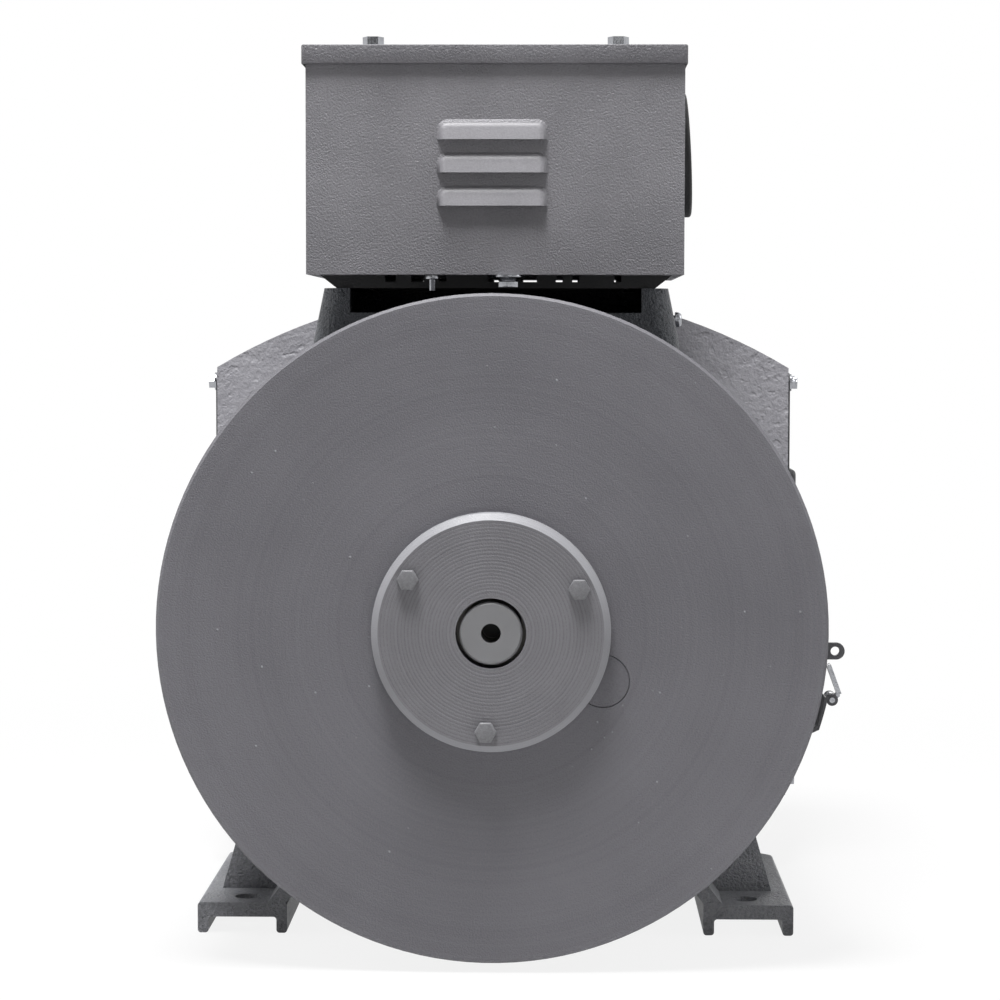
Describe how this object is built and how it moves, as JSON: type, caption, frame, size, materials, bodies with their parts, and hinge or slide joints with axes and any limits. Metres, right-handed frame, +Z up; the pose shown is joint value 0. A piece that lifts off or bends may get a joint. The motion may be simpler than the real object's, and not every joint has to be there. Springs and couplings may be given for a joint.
{
  "type": "generator alternator head",
  "caption": "Foot-mounted generator alternator with a round end cover, slip rings and brushes inside, a fan housing, a drive shaft and a louvred terminal box on top.",
  "frame": {"origin": "on the mounting plane, in the middle of the four foot holes, under the shaft axis", "axes": "+Y along the shaft to the drive end, +Z up, +X to the right seen from the slip-ring end"},
  "size_m": [0.372, 0.5097, 0.4946],
  "materials": {
    "cast_housing": "grey hammered enamel",
    "frame_paint": "grey enamel on cast iron",
    "box_paint": "grey hammered enamel on sheet",
    "dark_sheet": "dark enamel on sheet",
    "zinc": "zinc plated",
    "steel": "turned",
    "iron": "as cast or stacked",
    "winding": "varnished wire",
    "brass": "turned",
    "moulding": "moulded phenolic",
    "rubber": "matt",
    "aluminium": "as cast"
  },
  "bodies": {
    "housing": {"bearing_cap": "cast_housing", "bearing_cap_screws": "cast_housing", "box_saddle": "rubber", "brush_holder": "moulding", "brush_holder_lid": "moulding", "brush_holder_screws": "zinc", "cable_grommet": "rubber", "core_plug": "cast_housing", "drive_bearing_cap": "iron", "drive_bearing_outer_ring": "steel", "drive_cap_screws": "zinc", "drive_end_housing": "cast_housing", "drive_housing_screws": "zinc", "drive_inner_cap": "iron", "earth_screw": "zinc", "front_brush_spring": "steel", "latch_base": "dark_sheet", "latch_eye": "dark_sheet", "latch_pin": "zinc", "left_outlet_cover": "dark_sheet", "lid_screws": "zinc", "outlet_cover_screws": "zinc", "rear_bearing_outer_ring": "steel", "rear_brush_spring": "steel", "rear_cover_screws": "zinc", "rear_end_cover": "cast_housing", "rear_inner_cap": "iron", "right_outlet_cover": "dark_sheet", "stator_core": "iron", "stator_frame": "frame_paint", "stator_winding": "winding", "terminal_board": "moulding", "terminal_box": "box_paint", "terminal_box_lid": "box_paint", "terminal_nuts": "zinc", "terminal_studs": "brass", "voltage_regulator": "moulding", "window_band": "dark_sheet"},
    "rotor": {"shaft": "steel", "rotor_core": "iron", "field_coils": "winding", "slip_ring_hub": "moulding", "slip_rings": "brass", "cooling_fan": "aluminium", "rear_bearing_inner_ring": "steel", "drive_bearing_inner_ring": "steel"},
    "rear_cage": {"rear_bearing_cage": "brass", "rear_bearing_balls": "steel"},
    "drive_cage": {"drive_bearing_cage": "brass", "drive_bearing_balls": "steel"},
    "latch": {"latch_lever": "zinc"},
    "rear_brush": {"rear_brush": "moulding"},
    "front_brush": {"front_brush": "moulding"}
  },
  "joints": [
    {"name": "rotor_spin", "type": "hinge", "parent": "housing", "child": "rotor", "pos_m": [0, 0, 0.18], "axis": [0, 1, 0], "continuous": true},
    {"name": "rear_cage_spin", "type": "hinge", "parent": "housing", "child": "rear_cage", "pos_m": [0, 0, 0.18], "axis": [0, 1, 0], "continuous": true},
    {"name": "drive_cage_spin", "type": "hinge", "parent": "housing", "child": "drive_cage", "pos_m": [0, 0, 0.18], "axis": [0, 1, 0], "continuous": true},
    {"name": "latch_hinge", "type": "hinge", "parent": "housing", "child": "latch", "pos_m": [0.1804, -0.128, 0.14], "axis": [0, 1, 0], "range_deg": [0, 110]},
    {"name": "rear_brush_slide", "type": "slide", "parent": "housing", "child": "rear_brush", "axis": [0, 0, 1], "range_m": [0, 0.006], "stiffness_N_per_m": 600, "springref_m": -0.008, "deforming": ["rear_brush_spring"]},
    {"name": "front_brush_slide", "type": "slide", "parent": "housing", "child": "front_brush", "axis": [0, 0, 1], "range_m": [0, 0.006], "stiffness_N_per_m": 600, "springref_m": -0.008, "deforming": ["front_brush_spring"]}
  ],
  "couplings": [
    {"joint": "rear_cage_spin", "follows": "rotor_spin", "ratio": 0.3846},
    {"joint": "drive_cage_spin", "follows": "rotor_spin", "ratio": 0.3828}
  ]
}
